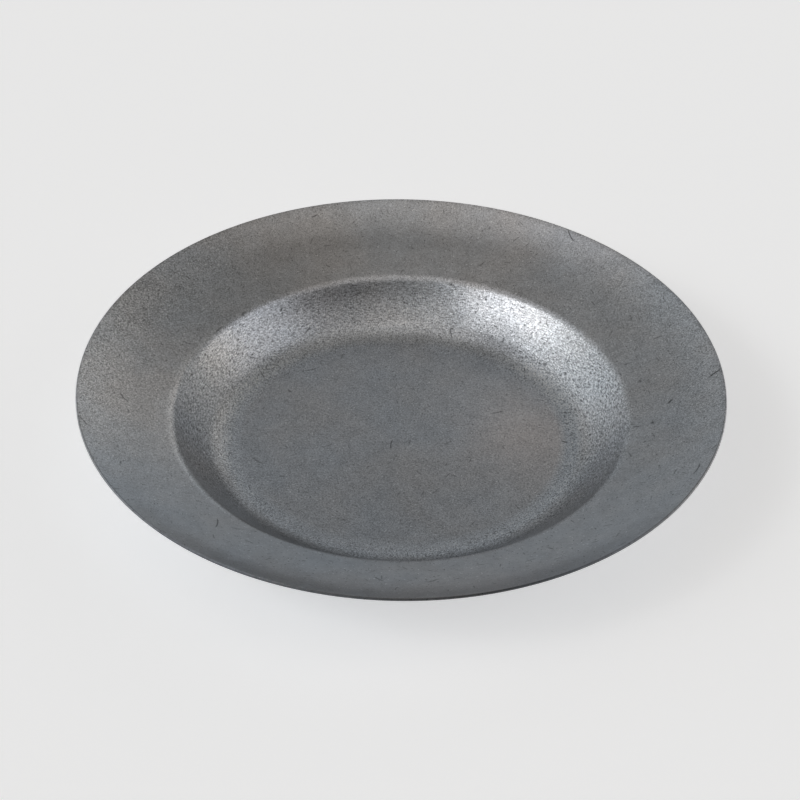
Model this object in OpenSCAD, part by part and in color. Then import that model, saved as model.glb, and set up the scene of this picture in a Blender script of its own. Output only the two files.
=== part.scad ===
// Deep rimmed plate, pressed in one piece from a disc of stainless steel sheet.
// It has a flat floor, a steep hollow wall and a wide rim that steepens towards its edge.
// Lengths are in millimetres. The plate stands on z = 0, round the Z axis.
// The sizes are those of the sheet's top; the underside follows it, one thickness below.

/* [Sheet] */
// Thickness of the sheet, the same all over
sheet_t = 1; // [0.6:0.1:1.4]
// Rounding of the two corners of the cut edge
edge_round_r = 0.2; // [0.1:0.05:0.25]

/* [Rim] */
// Diameter over the rim's edge
plate_d = 240; // [200:1:280]
// Width of the rim from its edge to the top of the wall, with the rounded shoulder
rim_w = 36.5; // [26:0.5:50]
// Slope of the rim beside the shoulder, in degrees above the floor
rim_slope = 18.5; // [12:0.5:26]
// Slope of the rim at its edge, in degrees
edge_slope = 29.5; // [27:0.5:40]
// Part of the rim's width that steepens towards the edge
steep_part = 0.64; // [0.3:0.02:0.8]
// Radius of the rounded shoulder between wall and rim
shoulder_r = 6.5; // [3:0.5:14]

/* [Wall] */
// Width of the wall seen from above, with the bend at its foot
wall_w = 22; // [17:0.5:30]
// Slope at the top of the wall, which is slightly hollow
wall_top_slope = 50; // [46:0.5:60]
// Slope at the foot of the wall
wall_foot_slope = 40.5; // [30:0.5:45]
// Radius of the bend between floor and wall
floor_bend_r = 17.5; // [8:0.5:22]

/* [Hidden] */
$fn = 180;
bend_step = 2.5;
edge_step = 22.5;

// Unit vectors in the section: up the sheet, and straight through it to the underside.
function along(slope) = [cos(slope), sin(slope)];
function through(slope) = [sin(slope), -cos(slope)];

// Points of an arc, both ends included. Angles are in degrees from the outward direction.
function arc(centre, r, from_angle, to_angle, step = bend_step) =
    let (turn = to_angle - from_angle, count = ceil(abs(turn) / step))
    [for (i = [0:count]) centre + r * along(from_angle + turn * i / count)];

// Radius of a bend that spans a width of the section between two slopes.
function spanning_r(width, from_slope, to_slope) = width / (sin(to_slope) - sin(from_slope));

well_r = plate_d / 2 - rim_w;
floor_r = well_r - wall_w;

// Floor bend, with its centre above the sheet
floor_bend_centre = [floor_r, sheet_t + floor_bend_r];
wall_foot = floor_bend_centre + floor_bend_r * through(wall_foot_slope);

// Wall, a wide hollow arc
wall_r = spanning_r(well_r - wall_foot[0], wall_foot_slope, wall_top_slope);
wall_centre = wall_foot - wall_r * through(wall_foot_slope);
wall_top = wall_centre + wall_r * through(wall_top_slope);

// Shoulder, with its centre below the sheet
shoulder_centre = wall_top + shoulder_r * through(wall_top_slope);
shoulder_end = shoulder_centre - shoulder_r * through(rim_slope);

// Rim, straight at first and then a hollow band up to the cut edge
band_end_x = plate_d / 2 - edge_round_r - (sheet_t - edge_round_r) * sin(edge_slope);
band_w = steep_part * (band_end_x - shoulder_end[0]);
rim_run = (band_end_x - band_w - shoulder_end[0]) / cos(rim_slope);
band_r = spanning_r(band_w, rim_slope, edge_slope);
band_centre = shoulder_end + rim_run * along(rim_slope) - band_r * through(rim_slope);
band_end = band_centre + band_r * through(edge_slope);

// Top or underside of half the section, from the axis outwards, at a depth below the top.
function sheet_line(depth) = concat(
    [[0, sheet_t - depth]],
    arc(floor_bend_centre, floor_bend_r + depth, -90, wall_foot_slope - 90),
    without_first(arc(wall_centre, wall_r + depth, wall_foot_slope - 90, wall_top_slope - 90)),
    without_first(arc(shoulder_centre, shoulder_r - depth, wall_top_slope + 90, rim_slope + 90)),
    arc(band_centre, band_r + depth, rim_slope - 90, edge_slope - 90)
);

// The cut edge: its two rounded corners, with the flat cut between them.
function edge_line() =
    let (upper = band_end + edge_round_r * through(edge_slope))
    let (lower = band_end + (sheet_t - edge_round_r) * through(edge_slope))
    concat(
        arc(upper, edge_round_r, edge_slope + 90, edge_slope, edge_step),
        arc(lower, edge_round_r, edge_slope, edge_slope - 90, edge_step)
    );

// A line that follows another one shares its first point with it.
function without_first(points) = [for (i = [1:len(points) - 1]) points[i]];

// A line that joins two others shares its first and last points with them.
function between_ends(points) = [for (i = [1:len(points) - 2]) points[i]];

function reversed(points) = [for (i = [len(points) - 1:-1:0]) points[i]];

module half_section() {
    polygon(concat(sheet_line(0), between_ends(edge_line()), reversed(sheet_line(sheet_t))));
}

module plate() {
    color([0.60, 0.615, 0.64])
        rotate_extrude()
            half_section();
}

plate();
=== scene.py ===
# Deep rimmed plate of tumbled stainless steel, on a pale floor in soft studio light.
# Lengths are in metres, and slopes and directions are in degrees.
# X is to the photograph's right, Y is away from the viewer, and the plate stands on z = 0.
import math

import bmesh
import bpy
from mathutils import Matrix, Vector


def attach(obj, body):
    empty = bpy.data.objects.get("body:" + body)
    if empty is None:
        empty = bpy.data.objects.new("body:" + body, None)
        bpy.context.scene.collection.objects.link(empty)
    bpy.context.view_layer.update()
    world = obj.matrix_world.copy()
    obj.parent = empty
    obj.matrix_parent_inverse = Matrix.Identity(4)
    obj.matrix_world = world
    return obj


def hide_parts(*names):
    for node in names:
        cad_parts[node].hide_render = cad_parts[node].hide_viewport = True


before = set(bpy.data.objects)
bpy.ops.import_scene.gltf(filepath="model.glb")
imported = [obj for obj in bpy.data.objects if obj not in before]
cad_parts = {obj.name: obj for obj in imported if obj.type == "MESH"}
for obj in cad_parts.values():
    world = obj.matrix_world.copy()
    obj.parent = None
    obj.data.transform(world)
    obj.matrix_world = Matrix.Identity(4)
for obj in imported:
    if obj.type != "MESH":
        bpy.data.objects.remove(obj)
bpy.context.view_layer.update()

MM = 0.001

# Sizes of the sheet's top, the same as the solid's
SHEET = 1.0 * MM
EDGE_ROUND_R = 0.2 * MM
PLATE_R = 120.0 * MM
# Rim: its width with the shoulder, its slopes, and the part of its width that steepens
RIM_W = 36.5 * MM
RIM_SLOPE = 18.5
EDGE_SLOPE = 29.5
STEEP_PART = 0.64
SHOULDER_R = 6.5 * MM
# Wall: its width with the bend at its foot, its slopes, and the radius of that bend
WALL_W = 22.0 * MM
WALL_TOP_SLOPE = 50.0
WALL_FOOT_SLOPE = 40.5
FLOOR_BEND_R = 17.5 * MM

# Fineness of the mesh: steps round the plate, and along each stretch of the section
ROUND_STEPS = 384
FLAT_STEPS = 24
BEND_STEPS = 16
ARC_STEPS = 12
RIM_STEPS = 10
EDGE_STEPS = 4

# Colours of the steel: cooler and warmer clouds, and the warmest part of the floor
COOL = (0.590, 0.618, 0.655, 1.0)
WARM = (0.625, 0.622, 0.630, 1.0)
WARMEST = (0.76, 0.71, 0.69, 1.0)

# Sizes of the lumps in the steel's colour and surface
CLOUD = 38 * MM
BLOTCH = 7 * MM
MOTTLE = 2.4 * MM
GRAIN = 0.55 * MM
PIT = 0.9 * MM
GLINT = 0.8 * MM

# Values of the noise between which clouds turn from cool to warm, pits begin and glints end
CLOUDS_TURN = (0.35, 0.65)
PITS_BEGIN = (0.68, 0.74)
GLINTS_END = (0.26, 0.32)

# Streaks from tumbling: the cells that they keep one direction in, their width, and their width
# as a share of their length
STREAK_CELL = 1.8 * MM
STREAK_W = 0.38 * MM
STREAK_SHARE = 0.3
# Streaks round the wall: their width, and the radius at which they would be no longer than wide
TURNED_W = 0.3 * MM
TURNED_R = 12 * MM
TURNED = {"begins": (64 * MM, 71 * MM), "ends": (83 * MM, 86 * MM)}

# Nicks: one in some cells of a grid, up to a length, with a seed that shifts the grid
DEEP_NICKS = {"cell": 24 * MM, "longest": 7 * MM, "width": 0.35 * MM, "chance": 0.5, "seed": 0.31}
SHORT_NICKS = {"cell": 9 * MM, "longest": 4 * MM, "width": 0.3 * MM, "chance": 0.6, "seed": 1.7}
FINE_NICKS = {"cell": 3 * MM, "longest": 2.4 * MM, "width": 0.22 * MM, "chance": 0.5, "seed": 2.9}
# Short nicks are this deep and dark as a share of the deep ones
SHORT_SHARE = 0.7

# How much each layer of the finish sways the brightness of the steel's colour
BRIGHTNESS = {"grain": 1.5, "streaks": 0.9, "turned": 1.1, "blotches": 0.35, "mottle": 0.3}
# Brightness of the small marks, by a factor
FINE_FACTOR = 0.72
PIT_FACTOR = 0.5
GLINT_FACTOR = 1.5
NICK_FACTOR = 0.35
SCRATCH_FACTOR = 0.2
# How high each layer stands, in millimetres
HEIGHT = {"grain": 0.04, "streaks": 0.025, "mottle": 0.02, "pits": -0.004, "marks": -0.02}
# Roughness of the steel: its middle, its least value, and how much blotches and mottle sway it
ROUGHNESS = 0.285
LEAST_ROUGHNESS = 0.276
ROUGHNESS_SWAY = 0.08

# How much nicks and scratches bow: by this times the square of the way along them, in 1 over metres
BOW = 40.0
# They are full over this share of their width, and fade in over these shares of their length
FULL_SHARE = 0.2
NICK_FADE = 1 / 6
SCRATCH_FADE = 1 / 3
SCRATCH_W = 0.55 * MM
# The plainest scratches: where their middle is, their direction and length, and how dark they are
SCRATCHES = [
    {"middle": (116.5 * MM, 8.5 * MM), "direction": 24, "length": 6.2 * MM, "dark": 1.0},
    {"middle": (100.0 * MM, 0.5 * MM), "direction": 45, "length": 3.4 * MM, "dark": 1.0},
    {"middle": (93.0 * MM, -9.5 * MM), "direction": 25, "length": 2.2 * MM, "dark": 0.8},
    {"middle": (89.5 * MM, -20.0 * MM), "direction": 40, "length": 1.6 * MM, "dark": 0.7},
    {"middle": (90.0 * MM, 16.5 * MM), "direction": 130, "length": 1.8 * MM, "dark": 0.8},
    {"middle": (61.8 * MM, 2.2 * MM), "direction": 155, "length": 3.0 * MM, "dark": 0.9},
    {"middle": (-53.5 * MM, -11.5 * MM), "direction": 140, "length": 9.0 * MM, "dark": 0.55},
    {"middle": (-43.0 * MM, 31.0 * MM), "direction": 139, "length": 2.6 * MM, "dark": 0.8},
    {"middle": (-71.0 * MM, 48.0 * MM), "direction": 60, "length": 6.0 * MM, "dark": 0.6},
    {"middle": (-62.0 * MM, 59.0 * MM), "direction": 52, "length": 3.5 * MM, "dark": 0.6},
]

# Soft round patches, each with its middle and its reach
WARM_PATCH = {"middle": (47 * MM, 6 * MM), "reach": 20 * MM}
# The crescent is the darkest part of the painted shade on the near wall
CRESCENT = {"middle": (-42 * MM, -68 * MM), "reach": 20 * MM}

# Painted light and shade: soft round patches painted brighter or darker than the rest, by a factor
LIGHT_AND_SHADE_PATCHES = [
    # Painted light on the floor's right side, and painted shade on its near side
    {"middle": (42 * MM, 24 * MM), "reach": 26 * MM, "factor": 1.14},
    {"middle": (0.0, -40 * MM), "reach": 26 * MM, "factor": 0.92},
    # The far wall: painted shade low down on the right, and a painted highlight on the left
    {"middle": (40 * MM, 62 * MM), "reach": 12.5 * MM, "factor": 0.64},
    {"middle": (-67 * MM, 39 * MM), "reach": 9 * MM, "factor": 1.08},
]

# Painted light and shade: rings and parts of rings painted brighter or darker, by a factor. A ring
# begins between two radii and ends between two more, and may fade from one x or y to another, between
# two shares.
LIGHT_AND_SHADE_RINGS = [
    # A painted highlight along the ridge of the shoulder, on the left
    {"factor": 1.25, "begins": (84 * MM, 85 * MM), "ends": (86.5 * MM, 88 * MM),
     "x": (-75 * MM, -50 * MM, 1.0, 0.0), "y": (-5 * MM, 35 * MM, 1.0, 0.2)},
    # Painted light and shade on the far wall on the right: its foot brighter, its bend and its top all
    # along the right darker
    {"factor": 1.12, "begins": (58 * MM, 62 * MM), "ends": (69 * MM, 72 * MM),
     "x": (10 * MM, 22 * MM, 0.0, 1.0), "y": (25 * MM, 45 * MM, 0.0, 1.0)},
    {"factor": 0.9, "begins": (70 * MM, 72.5 * MM), "ends": (76.5 * MM, 79 * MM),
     "x": (10 * MM, 22 * MM, 0.0, 1.0), "y": (25 * MM, 45 * MM, 0.0, 1.0)},
    {"factor": 0.93, "begins": (80 * MM, 82 * MM), "ends": (84.5 * MM, 86 * MM),
     "x": (10 * MM, 40 * MM, 0.0, 1.0)},
    # Painted light and shade on the far wall in the middle and on the left: a bright band, with a dark
    # one above it
    {"factor": 1.10, "begins": (70 * MM, 72.5 * MM), "ends": (76.5 * MM, 78.5 * MM),
     "x": (5 * MM, 25 * MM, 1.0, 0.0), "y": (55 * MM, 68 * MM, 0.0, 1.0)},
    {"factor": 0.87, "begins": (79 * MM, 80.5 * MM), "ends": (83 * MM, 84.5 * MM),
     "x": (5 * MM, 25 * MM, 1.0, 0.0), "y": (55 * MM, 68 * MM, 0.0, 1.0)},
    # Painted shade: a darker band along the middle of the far rim
    {"factor": 0.88, "begins": (97 * MM, 101 * MM), "ends": (105 * MM, 109 * MM),
     "y": (75 * MM, 95 * MM, 0.0, 1.0)},
    # Painted light and shade on the steep edge of the rim: darker near, brighter far and left
    {"factor": 0.76, "begins": (107 * MM, 114 * MM), "y": (-100 * MM, -60 * MM, 1.0, 0.0)},
    {"factor": 1.08, "begins": (107 * MM, 114 * MM), "y": (60 * MM, 100 * MM, 0.0, 1.0)},
    {"factor": 1.05, "begins": (107 * MM, 114 * MM), "x": (-110 * MM, -90 * MM, 1.0, 0.0)},
    # Painted shade on the cut edge, which is darkest towards the viewer
    {"factor": 0.5, "begins": (119.2 * MM, 119.5 * MM), "y": (-40 * MM, 0.0, 1.0, 0.4)},
]

# The ring at the foot of the wall, tinted cool and brightened as a painted highlight, which lies a
# little off the plate's middle and fades towards the far side
FOOT_MIDDLE = (0.0, 4 * MM, 0.0)
FOOT = {"begins": (59.5 * MM, 63 * MM), "ends": (66 * MM, 69.5 * MM)}
FOOT_Y = (40 * MM, 62 * MM, 1.0, 0.3)
FOOT_LIGHT_FACTOR = 1.13

# Painted shade on the inside of the near wall: the radii, off the foot's middle, where it begins, the
# radius where it ends by x, and how softly it ends
NEAR_WALL_BEGINS = (67 * MM, 73 * MM)
NEAR_WALL_END_X = (-50 * MM, 20 * MM, 85.6 * MM, 83.8 * MM)
NEAR_WALL_SOFTNESS = 0.7 * MM
# It fades by y, and up the left side, where it is less dark, by x and y
NEAR_WALL_Y = (-65 * MM, 10 * MM)
LEFT_WALL_X = (-60 * MM, -20 * MM, 0.8, 0.0)
LEFT_WALL_Y = (-25 * MM, 10 * MM)
NEAR_WALL_SHADE_FACTOR = 0.53
CRESCENT_SHADE_FACTOR = 0.75

# How strong the fine grain shows. An entry with four values goes from one x, y or radius to
# another, between two strengths.
FLOOR_GRAIN = 1.08
NEAR_WALL_GRAIN_X = (-40 * MM, 10 * MM, 1.3, 2.1)
SIDE_WALL_GRAIN_X = (-50 * MM, 30 * MM, 2.0, 2.2)
FAR_WALL_GRAIN_Y = (40 * MM, 65 * MM, 1.0, 0.74)
RIM_GRAIN_R = (98 * MM, 112 * MM, 1.05, 1.5)
NEAR_RIM_GRAIN_Y = (-75 * MM, -10 * MM, 0.22, 1.0)
FAR_RIM_GRAIN_Y = (60 * MM, 100 * MM, 1.0, 0.6)
LEFT_RIM_GRAIN_X = (-90 * MM, -50 * MM, 1.35, 1.0)
# Where it changes: by y from the near wall to its sides, and by radius to the wall and the rim
SIDE_WALL_BEGINS_Y = (-70 * MM, -25 * MM)
WALL_BEGINS_R = (58 * MM, 64.5 * MM)
RIM_BEGINS_R = (84 * MM, 87 * MM)

# Half the side of the pale floor, and its finish. It glows a little, to be as pale as the
# photograph's ground without brightening the plate.
FLOOR_HALF = 4.0
FLOOR_COLOUR = (0.9, 0.9, 0.9, 1.0)
FLOOR_ROUGHNESS = 0.9
FLOOR_GLOW_COLOUR = (1.0, 1.0, 1.0, 1.0)
FLOOR_GLOW = 0.4

# Camera: in front of the plate and above it, as far away as the photograph's perspective says
CAMERA_DISTANCE = 1000 * MM
CAMERA_ELEVATION = 39.09
CAMERA_TARGET = Vector((-0.47 * MM, 26.45 * MM, SHEET))
CAMERA_ROLL = 0.766
CLIP_START = 10 * MM
LENS = 119.4

# Soft lamps far away. Azimuth is from straight away from the viewer towards the right, in degrees,
# and width is the angle from a lamp's middle at which it has faded to about a third.
LAMPS = {
    "key": {"azimuth": -127, "elevation": 38, "width": 12, "colour": (1.65, 1.69, 1.76)},
    "key_core": {"azimuth": -114, "elevation": 42, "width": 6, "colour": (5.6, 5.6, 5.6)},
    "key_end": {"azimuth": -98, "elevation": 32, "width": 9, "colour": (1.78, 1.73, 1.68)},
    "key_spill": {"azimuth": -73, "elevation": 23, "width": 28, "colour": (0.44, 0.46, 0.475)},
    "left_wall": {"azimuth": -82, "elevation": 63, "width": 12, "colour": (0.32, 0.32, 0.34)},
    "ceiling": {"azimuth": 180, "elevation": 75, "width": 30, "colour": (0.425, 0.405, 0.39)},
    "fill": {"azimuth": 97, "elevation": 34, "width": 18, "colour": (0.69, 0.69, 0.72)},
    "fill_end": {"azimuth": 73, "elevation": 19, "width": 11, "colour": (0.49, 0.42, 0.34)},
    "back_right": {"azimuth": 30, "elevation": 27, "width": 11, "colour": (0.42, 0.38, 0.34)},
    "back": {"azimuth": 0, "elevation": 39, "width": 16, "colour": (0.06, 0.065, 0.075)},
}
# The even glow of the sky, level with the floor and straight above
HORIZON = (0.285, 0.310, 0.330, 1.0)
ZENITH = (0.105, 0.095, 0.080, 1.0)
# The camera and its stand keep the even glow off the plate from their side
SHADE = {"azimuth": 146, "elevation": 38, "width": 33}


def along(slope):
    """Unit vector up the sheet, in the section."""
    return Vector((math.cos(math.radians(slope)), math.sin(math.radians(slope))))


def through(slope):
    """Unit vector straight through the sheet to its underside."""
    return Vector((math.sin(math.radians(slope)), -math.cos(math.radians(slope))))


def spanning_radius(width, start_slope, end_slope):
    """Radius of a bend that spans a width of the section between two slopes."""
    return width / (math.sin(math.radians(end_slope)) - math.sin(math.radians(start_slope)))


def arc(centre, radius, start, end, steps):
    """Points of an arc, both ends included, with angles in degrees from the outward direction."""
    return [centre + radius * along(start + (end - start) * i / steps) for i in range(steps + 1)]


def line(start, end, steps):
    """Points of a straight stretch without its ends."""
    return [start.lerp(end, i / steps) for i in range(1, steps)]


def section():
    """The closed outline of half the plate's section, from the axis along the top and back below."""
    well_r = PLATE_R - RIM_W
    floor_centre = Vector((well_r - WALL_W, SHEET + FLOOR_BEND_R))
    wall_foot = floor_centre + FLOOR_BEND_R * through(WALL_FOOT_SLOPE)
    wall_r = spanning_radius(well_r - wall_foot.x, WALL_FOOT_SLOPE, WALL_TOP_SLOPE)
    wall_centre = wall_foot - wall_r * through(WALL_FOOT_SLOPE)
    wall_top = wall_centre + wall_r * through(WALL_TOP_SLOPE)
    shoulder_centre = wall_top + SHOULDER_R * through(WALL_TOP_SLOPE)
    shoulder_end = shoulder_centre - SHOULDER_R * through(RIM_SLOPE)
    cut_depth = SHEET - EDGE_ROUND_R
    band_end_x = PLATE_R - EDGE_ROUND_R - cut_depth * math.sin(math.radians(EDGE_SLOPE))
    band_w = STEEP_PART * (band_end_x - shoulder_end.x)
    rim_run = (band_end_x - band_w - shoulder_end.x) / math.cos(math.radians(RIM_SLOPE))
    band_r = spanning_radius(band_w, RIM_SLOPE, EDGE_SLOPE)
    band_centre = shoulder_end + rim_run * along(RIM_SLOPE) - band_r * through(RIM_SLOPE)
    band_end = band_centre + band_r * through(EDGE_SLOPE)

    def side(depth):
        floor_bend = arc(floor_centre, FLOOR_BEND_R + depth, -90, WALL_FOOT_SLOPE - 90, BEND_STEPS)
        wall = arc(wall_centre, wall_r + depth, WALL_FOOT_SLOPE - 90, WALL_TOP_SLOPE - 90, ARC_STEPS)
        shoulder = arc(
            shoulder_centre, SHOULDER_R - depth, WALL_TOP_SLOPE + 90, RIM_SLOPE + 90, ARC_STEPS,
        )
        band = arc(band_centre, band_r + depth, RIM_SLOPE - 90, EDGE_SLOPE - 90, ARC_STEPS)
        start = Vector((0.0, SHEET - depth))
        flat = line(start, floor_bend[0], FLAT_STEPS)
        rim = line(shoulder[-1], band[0], RIM_STEPS)
        return [start, *flat, *floor_bend, *wall[1:], *shoulder[1:], *rim, *band]

    upper_centre = band_end + EDGE_ROUND_R * through(EDGE_SLOPE)
    lower_centre = band_end + cut_depth * through(EDGE_SLOPE)
    upper = arc(upper_centre, EDGE_ROUND_R, EDGE_SLOPE + 90, EDGE_SLOPE, EDGE_STEPS)
    lower = arc(lower_centre, EDGE_ROUND_R, EDGE_SLOPE, EDGE_SLOPE - 90, EDGE_STEPS)
    return side(0.0) + upper[1:] + lower[:-1] + side(SHEET)[::-1]


def revolve(name, outline):
    """A mesh made by turning an outline, from the axis and back to it, about the axis."""
    mesh = bmesh.new()
    turns = [2 * math.pi * i / ROUND_STEPS for i in range(ROUND_STEPS)]
    rings = []
    for point in outline:
        if point.x == 0.0:
            places = [(0.0, 0.0, point.y)]
        else:
            places = [(point.x * math.cos(a), point.x * math.sin(a), point.y) for a in turns]
        rings.append([mesh.verts.new(place) for place in places])
    for lower, upper in zip(rings, rings[1:]):
        for i in range(ROUND_STEPS):
            j = (i + 1) % ROUND_STEPS
            if len(lower) == 1:
                corners = (lower[0], upper[i], upper[j])
            elif len(upper) == 1:
                corners = (lower[j], lower[i], upper[0])
            else:
                corners = (lower[i], upper[i], upper[j], lower[j])
            mesh.faces.new(corners)
    bmesh.ops.recalc_face_normals(mesh, faces=mesh.faces)
    data = bpy.data.meshes.new(name)
    mesh.to_mesh(data)
    mesh.free()
    data.polygons.foreach_set("use_smooth", [True] * len(data.polygons))
    piece = bpy.data.objects.new(name, data)
    bpy.context.scene.collection.objects.link(piece)
    return piece


class Graph:
    """Short calls that add nodes to one material or world and join them."""

    def __init__(self, owner):
        owner.use_nodes = True
        self.tree = owner.node_tree
        self.tree.nodes.clear()

    def add(self, kind, settings, **inputs):
        """A new node, with its inputs by name, where an underscore stands for a space."""
        node = self.tree.nodes.new(kind)
        for name, value in settings.items():
            setattr(node, name, value)
        for name, value in inputs.items():
            self.join(node.inputs[name.replace("_", " ")], value)
        return node

    def join(self, socket, value):
        """Link an input to another node's output, or give it a fixed value."""
        if isinstance(value, bpy.types.NodeSocket):
            self.tree.links.new(value, socket)
        else:
            socket.default_value = value

    def math(self, operation, *values):
        """The result of an operation on numbers."""
        node = self.add("ShaderNodeMath", {"operation": operation})
        for socket, value in zip(node.inputs, values):
            self.join(socket, value)
        return node.outputs[0]

    def product(self, first, *others):
        """A number times each of the others."""
        for other in others:
            first = self.math("MULTIPLY", first, other)
        return first

    def vector(self, operation, *values, out="Vector"):
        """The result of an operation on vectors."""
        node = self.add("ShaderNodeVectorMath", {"operation": operation})
        for socket, value in zip(node.inputs, values):
            self.join(socket, value)
        return node.outputs[out]

    def scale(self, value, factor):
        """A vector or colour times a number."""
        node = self.add("ShaderNodeVectorMath", {"operation": "SCALE"}, Scale=factor)
        self.join(node.inputs[0], value)
        return node.outputs["Vector"]

    def distance(self, place, middle):
        """How far a place is from a middle."""
        return self.vector("DISTANCE", place, middle, out="Value")

    def turn(self, place, share):
        """A place turned about the vertical by a share of a full turn."""
        angle = self.product(share, 2 * math.pi)
        node = self.add("ShaderNodeVectorRotate", {"rotation_type": "Z_AXIS"}, Vector=place, Angle=angle)
        return node.outputs["Vector"]

    def sway(self, middle, parts):
        """A value that noises about 0.5 move up and down, each by its own amount."""
        total = middle - sum(amount for _, amount in parts) / 2
        for value, amount in parts:
            total = self.math("MULTIPLY_ADD", value, amount, total)
        return total

    def noise(self, place, size, detail=2.0, roughness=0.5):
        """Soft noise about 0.5, with lumps of a given size."""
        node = self.add(
            "ShaderNodeTexNoise", {}, Vector=place, Scale=1 / size, Detail=detail, Roughness=roughness,
        )
        return node.outputs["Fac"]

    def spread(self, value, low, high, out_low, out_high):
        """A value taken from one range to another, and held at its ends."""
        node = self.add(
            "ShaderNodeMapRange", {"clamp": True}, Value=value, From_Min=low, From_Max=high,
            To_Min=out_low, To_Max=out_high,
        )
        return node.outputs["Result"]

    def rise(self, value, low, high):
        """0 up to one value, and 1 from a higher one on."""
        return self.spread(value, low, high, 0.0, 1.0)

    def fall(self, value, low, high):
        """1 up to one value, and 0 from a higher one on."""
        return self.spread(value, low, high, 1.0, 0.0)

    def mix(self, share, first, second):
        """A colour on the way from a first to a second one."""
        # This node has sockets of the same names for each type, so they go by number
        node = self.add("ShaderNodeMix", {"data_type": "RGBA"})
        self.join(node.inputs[0], share)
        self.join(node.inputs[6], first)
        self.join(node.inputs[7], second)
        return node.outputs[2]

    def between(self, share, first, second):
        """A value on the way from a first to a second one."""
        node = self.add("ShaderNodeMix", {"data_type": "FLOAT"})
        self.join(node.inputs[0], share)
        self.join(node.inputs[2], first)
        self.join(node.inputs[3], second)
        return node.outputs[0]

    def shaded(self, value, parts):
        """A value times the factor of each part, as far as the part's share comes near 1."""
        for share, factor in parts:
            value = self.math("MULTIPLY", value, self.spread(share, 0.0, 1.0, 1.0, factor))
        return value

    def ring(self, away, begins, ends):
        """1 between two distances, and fading to 0 on both sides."""
        return self.product(self.rise(away, *begins), self.fall(away, *ends))


class Spot:
    """Where a point of the plate is: its place, the same seen from above, and its distances."""

    def __init__(self, graph):
        self.place = graph.add("ShaderNodeTexCoord", {}).outputs["Object"]
        self.flat = graph.vector("MULTIPLY", self.place, (1.0, 1.0, 0.0))
        self.from_axis = graph.vector("LENGTH", self.flat, out="Value")
        self.from_foot_middle = graph.distance(self.flat, FOOT_MIDDLE)
        parts = graph.add("ShaderNodeSeparateXYZ", {}, Vector=self.place)
        self.x = parts.outputs["X"]
        self.y = parts.outputs["Y"]


def stroke(graph, offset, half, fade, width):
    """A slightly bowed scratch along X, 1 on its line, at an offset from its middle."""
    parts = graph.add("ShaderNodeSeparateXYZ", {}, Vector=offset)
    bow = graph.product(parts.outputs["X"], parts.outputs["X"], BOW)
    across = graph.math("ABSOLUTE", graph.math("ADD", parts.outputs["Y"], bow))
    inside = graph.math("SUBTRACT", half, graph.math("ABSOLUTE", parts.outputs["X"]))
    return graph.product(graph.rise(inside, 0.0, fade), graph.fall(across, FULL_SHARE * width, width))


def nicks(graph, flat, kind):
    """Short scratches, one in some cells of a jittered grid, each with its own direction and length."""
    place = graph.vector("ADD", flat, (kind["seed"], kind["seed"], 0.0))
    cells = graph.add(
        "ShaderNodeTexVoronoi", {"voronoi_dimensions": "2D"}, Vector=place, Scale=1 / kind["cell"],
    )
    offset = graph.vector("SUBTRACT", place, cells.outputs["Position"])
    dice = graph.add("ShaderNodeSeparateColor", {}, Color=cells.outputs["Color"])
    turned = graph.turn(offset, dice.outputs["Red"])
    half = graph.product(dice.outputs["Green"], kind["longest"] / 2)
    chosen = graph.math("LESS_THAN", dice.outputs["Blue"], kind["chance"])
    nick = stroke(graph, turned, half, NICK_FADE * kind["longest"], kind["width"])
    return graph.product(nick, chosen)


def scratches(graph, flat):
    """The plainest scratches, each at its own place."""
    total = 0.0
    for mark in SCRATCHES:
        x, y = mark["middle"]
        offset = graph.turn(graph.vector("SUBTRACT", flat, (x, y, 0.0)), -mark["direction"] / 360)
        scratch = stroke(graph, offset, mark["length"] / 2, SCRATCH_FADE * mark["length"], SCRATCH_W)
        total = graph.math("MAXIMUM", total, graph.product(scratch, mark["dark"]))
    return total


def tumbled_streaks(graph, flat):
    """Fine streaks that run in another direction in each small cell, as tumbling leaves them."""
    cells = graph.add(
        "ShaderNodeTexVoronoi", {"voronoi_dimensions": "2D"}, Vector=flat, Scale=1 / STREAK_CELL,
    )
    dice = graph.add("ShaderNodeSeparateColor", {}, Color=cells.outputs["Color"])
    turned = graph.turn(flat, dice.outputs["Red"])
    drawn_out = graph.vector("MULTIPLY", turned, (STREAK_SHARE, 1.0, 1.0))
    return graph.noise(drawn_out, STREAK_W, detail=1.0)


def turned_streaks(graph, spot):
    """Fine streaks that run round the plate on the wall, as pressing and turning leave them."""
    round_about = graph.math("MULTIPLY", graph.math("ARCTAN2", spot.y, spot.x), TURNED_R)
    drawn_out = graph.add("ShaderNodeCombineXYZ", {}, X=spot.from_axis, Y=round_about)
    on_wall = graph.ring(spot.from_axis, TURNED["begins"], TURNED["ends"])
    return graph.between(on_wall, 0.5, graph.noise(drawn_out.outputs["Vector"], TURNED_W, detail=1.0))


def patch_share(graph, flat, patch):
    """A soft round patch, 1 at its middle."""
    x, y = patch["middle"]
    share = graph.math("DIVIDE", graph.distance(flat, (x, y, 0.0)), patch["reach"])
    return graph.math("EXPONENT", graph.product(share, share, -1.0))


def ring_share(graph, spot, ring):
    """A soft ring or part of a ring, 1 where it is full."""
    share = graph.rise(spot.from_axis, *ring["begins"])
    if "ends" in ring:
        share = graph.product(share, graph.fall(spot.from_axis, *ring["ends"]))
    if "x" in ring:
        share = graph.product(share, graph.spread(spot.x, *ring["x"]))
    if "y" in ring:
        share = graph.product(share, graph.spread(spot.y, *ring["y"]))
    return share


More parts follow.
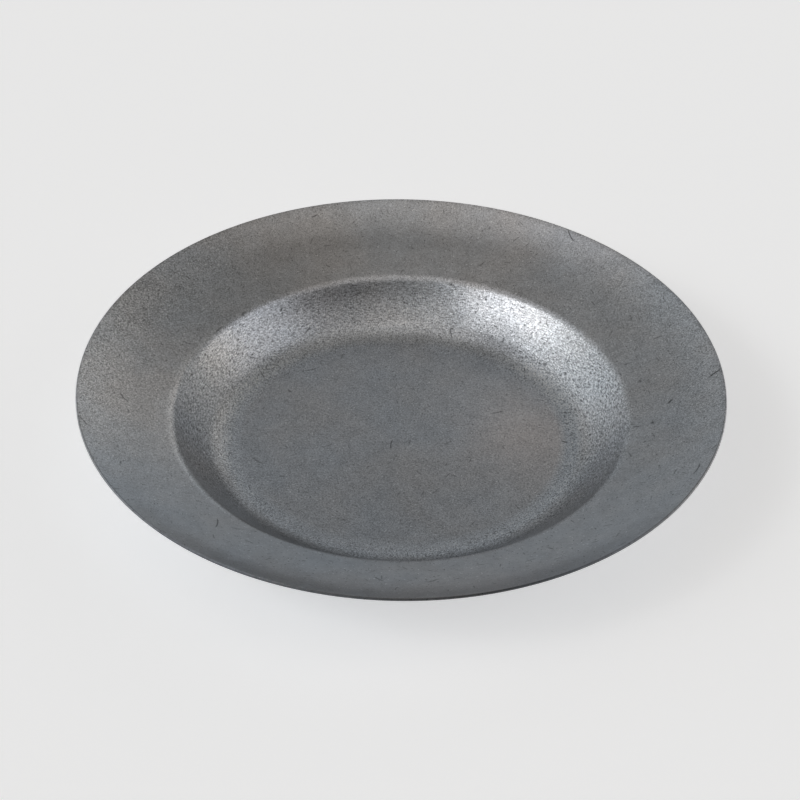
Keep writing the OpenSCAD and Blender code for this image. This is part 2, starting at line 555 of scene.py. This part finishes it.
def liveliness(graph, spot):
    """How strong the fine grain shows: most on the wall, less on the rim, least on the near rim."""
    near_wall = graph.spread(spot.x, *NEAR_WALL_GRAIN_X)
    side_wall = graph.spread(spot.x, *SIDE_WALL_GRAIN_X)
    wall = graph.between(graph.rise(spot.y, *SIDE_WALL_BEGINS_Y), near_wall, side_wall)
    wall = graph.product(wall, graph.spread(spot.y, *FAR_WALL_GRAIN_Y))
    rim = graph.product(
        graph.spread(spot.from_axis, *RIM_GRAIN_R),
        graph.spread(spot.y, *NEAR_RIM_GRAIN_Y),
        graph.spread(spot.y, *FAR_RIM_GRAIN_Y),
        graph.spread(spot.x, *LEFT_RIM_GRAIN_X),
    )
    inner = graph.between(graph.rise(spot.from_axis, *WALL_BEGINS_R), FLOOR_GRAIN, wall)
    return graph.between(graph.rise(spot.from_axis, *RIM_BEGINS_R), inner, rim)


def near_wall_painted_shade(graph, spot):
    """Painted shade on the inside of the near wall, which reaches up the left side, and its darkest
    part.
    """
    end = graph.spread(spot.x, *NEAR_WALL_END_X)
    past_end = graph.math("SUBTRACT", spot.from_axis, end)
    within = graph.fall(past_end, -NEAR_WALL_SOFTNESS, NEAR_WALL_SOFTNESS)
    wall = graph.product(graph.rise(spot.from_foot_middle, *NEAR_WALL_BEGINS), within)
    left = graph.product(graph.spread(spot.x, *LEFT_WALL_X), graph.fall(spot.y, *LEFT_WALL_Y))
    near_side = graph.math("MAXIMUM", graph.fall(spot.y, *NEAR_WALL_Y), left)
    crescent = graph.product(patch_share(graph, spot.flat, CRESCENT), within)
    return graph.product(wall, near_side), crescent


def painted_light_and_shade(graph, spot, foot):
    """Painted light and shade: broad parts of the plate painted brighter or darker than the rest, each
    with its factor.
    """
    near_wall, crescent = near_wall_painted_shade(graph, spot)
    painted_foot_light = graph.product(foot, graph.spread(spot.y, *FOOT_Y))
    parts = [(near_wall, NEAR_WALL_SHADE_FACTOR), (crescent, CRESCENT_SHADE_FACTOR), (painted_foot_light, FOOT_LIGHT_FACTOR)]
    parts += [(ring_share(graph, spot, ring), ring["factor"]) for ring in LIGHT_AND_SHADE_RINGS]
    parts += [(patch_share(graph, spot.flat, patch), patch["factor"]) for patch in LIGHT_AND_SHADE_PATCHES]
    return parts


def steel_material():
    """Satin tumbled stainless steel: grey, faintly clouded and grained, with fine short nicks."""
    material = bpy.data.materials.new("tumbled_steel")
    graph = Graph(material)
    spot = Spot(graph)
    foot = graph.ring(spot.from_foot_middle, FOOT["begins"], FOOT["ends"])

    clouds = graph.noise(spot.place, CLOUD, detail=3.0)
    blotches = graph.noise(spot.place, BLOTCH, detail=3.0, roughness=0.6)
    mottle = graph.noise(spot.place, MOTTLE, detail=3.0, roughness=0.65)
    grain = graph.noise(spot.place, GRAIN, detail=2.0, roughness=0.7)
    streaks = tumbled_streaks(graph, spot.flat)
    turned = turned_streaks(graph, spot)
    pits = graph.rise(graph.noise(spot.place, PIT, detail=1.0), *PITS_BEGIN)
    glints = graph.fall(graph.noise(spot.place, GLINT, detail=1.0), *GLINTS_END)
    deep = nicks(graph, spot.flat, DEEP_NICKS)
    short = graph.product(nicks(graph, spot.flat, SHORT_NICKS), SHORT_SHARE)
    fine = nicks(graph, spot.flat, FINE_NICKS)
    bold = graph.math("MAXIMUM", deep, short)
    known = scratches(graph, spot.flat)
    lively = liveliness(graph, spot)

    tint = graph.mix(graph.rise(clouds, *CLOUDS_TURN), COOL, WARM)
    tint = graph.mix(patch_share(graph, spot.flat, WARM_PATCH), tint, WARMEST)
    tint = graph.mix(foot, tint, COOL)
    speckle = graph.sway(0.0, [
        (grain, BRIGHTNESS["grain"]), (streaks, BRIGHTNESS["streaks"]), (turned, BRIGHTNESS["turned"]),
    ])
    cloudy = graph.sway(1.0, [(blotches, BRIGHTNESS["blotches"]), (mottle, BRIGHTNESS["mottle"])])
    bright = graph.math("MULTIPLY_ADD", speckle, lively, cloudy)
    bright = graph.shaded(bright, [
        (fine, FINE_FACTOR), (pits, PIT_FACTOR), (glints, GLINT_FACTOR), (bold, NICK_FACTOR),
        (known, SCRATCH_FACTOR),
    ])
    # The steel's colour carries painted light and shade: rings and patches painted brighter or darker
    # where reflections and shade fall
    colour = graph.scale(tint, graph.shaded(bright, painted_light_and_shade(graph, spot, foot)))

    rough = graph.sway(ROUGHNESS, [(blotches, ROUGHNESS_SWAY), (mottle, ROUGHNESS_SWAY)])
    rough = graph.math("MAXIMUM", rough, LEAST_ROUGHNESS)

    height = graph.sway(0.0, [(grain, HEIGHT["grain"]), (streaks, HEIGHT["streaks"])])
    height = graph.product(height, lively)
    height = graph.math("MULTIPLY_ADD", mottle, HEIGHT["mottle"], height)
    height = graph.math("MULTIPLY_ADD", pits, HEIGHT["pits"], height)
    height = graph.math("MULTIPLY_ADD", graph.math("MAXIMUM", bold, known), HEIGHT["marks"], height)
    bump = graph.add("ShaderNodeBump", {}, Strength=1.0, Distance=MM, Height=height)

    shader = graph.add(
        "ShaderNodeBsdfPrincipled", {}, Base_Color=colour, Metallic=1.0, Roughness=rough,
        Normal=bump.outputs["Normal"],
    )
    graph.add("ShaderNodeOutputMaterial", {}, Surface=shader.outputs["BSDF"])
    return material


def floor():
    """Pale floor that the plate stands on."""
    data = bpy.data.meshes.new("studio_floor")
    signs = [(-1, -1), (1, -1), (1, 1), (-1, 1)]
    data.from_pydata([(x * FLOOR_HALF, y * FLOOR_HALF, 0.0) for x, y in signs], [], [(0, 1, 2, 3)])
    piece = bpy.data.objects.new("studio_floor", data)
    bpy.context.scene.collection.objects.link(piece)
    material = bpy.data.materials.new("pale_floor")
    graph = Graph(material)
    shader = graph.add(
        "ShaderNodeBsdfPrincipled", {}, Base_Color=FLOOR_COLOUR, Roughness=FLOOR_ROUGHNESS,
        Emission_Color=FLOOR_GLOW_COLOUR, Emission_Strength=FLOOR_GLOW,
    )
    graph.add("ShaderNodeOutputMaterial", {}, Surface=shader.outputs["BSDF"])
    data.materials.append(material)


def camera():
    """The camera, at the photograph's viewing angle."""
    elevation = math.radians(CAMERA_ELEVATION)
    place = Vector((0.0, -math.cos(elevation), math.sin(elevation))) * CAMERA_DISTANCE
    place.z += SHEET
    data = bpy.data.cameras.new("camera")
    data.lens = LENS
    data.clip_start = CLIP_START
    piece = bpy.data.objects.new("camera", data)
    bpy.context.scene.collection.objects.link(piece)
    forward = (CAMERA_TARGET - place).normalized()
    aim = forward.to_track_quat("-Z", "Y").to_matrix().to_4x4()
    roll = Matrix.Rotation(math.radians(CAMERA_ROLL), 4, "Z")
    piece.matrix_world = Matrix.Translation(place) @ aim @ roll
    bpy.context.scene.camera = piece


def nearness(graph, sight, patch):
    """How near the line of sight is to the middle of a patch of the sky, 1 at the middle."""
    azimuth = math.radians(patch["azimuth"])
    elevation = math.radians(patch["elevation"])
    level = math.cos(elevation)
    middle = (math.sin(azimuth) * level, math.cos(azimuth) * level, math.sin(elevation))
    towards = graph.vector("DOT_PRODUCT", sight, middle, out="Value")
    sharpness = 1 / (1 - math.cos(math.radians(patch["width"])))
    return graph.math("EXPONENT", graph.math("MULTIPLY_ADD", towards, sharpness, -sharpness))


def studio():
    """Soft lamps and an even glow, painted on the sky round the plate."""
    world = bpy.data.worlds.new("studio")
    bpy.context.scene.world = world
    graph = Graph(world)
    sight = graph.add("ShaderNodeTexCoord", {}).outputs["Generated"]
    height = graph.add("ShaderNodeSeparateXYZ", {}, Vector=sight).outputs["Z"]
    glow = graph.mix(graph.math("MAXIMUM", height, 0.0), HORIZON, ZENITH)
    unshaded = graph.math("SUBTRACT", 1.0, nearness(graph, sight, SHADE))
    total = graph.scale(glow, unshaded)
    for lamp in LAMPS.values():
        total = graph.vector("ADD", total, graph.scale(lamp["colour"], nearness(graph, sight, lamp)))
    background = graph.add("ShaderNodeBackground", {}, Color=total, Strength=1.0)
    graph.add("ShaderNodeOutputWorld", {}, Surface=background.outputs["Background"])


plate = revolve("steel_plate", section())
plate.data.materials.append(steel_material())
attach(plate, "root")
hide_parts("plate")

floor()
camera()
studio()
bpy.context.scene.view_settings.view_transform = "Standard"
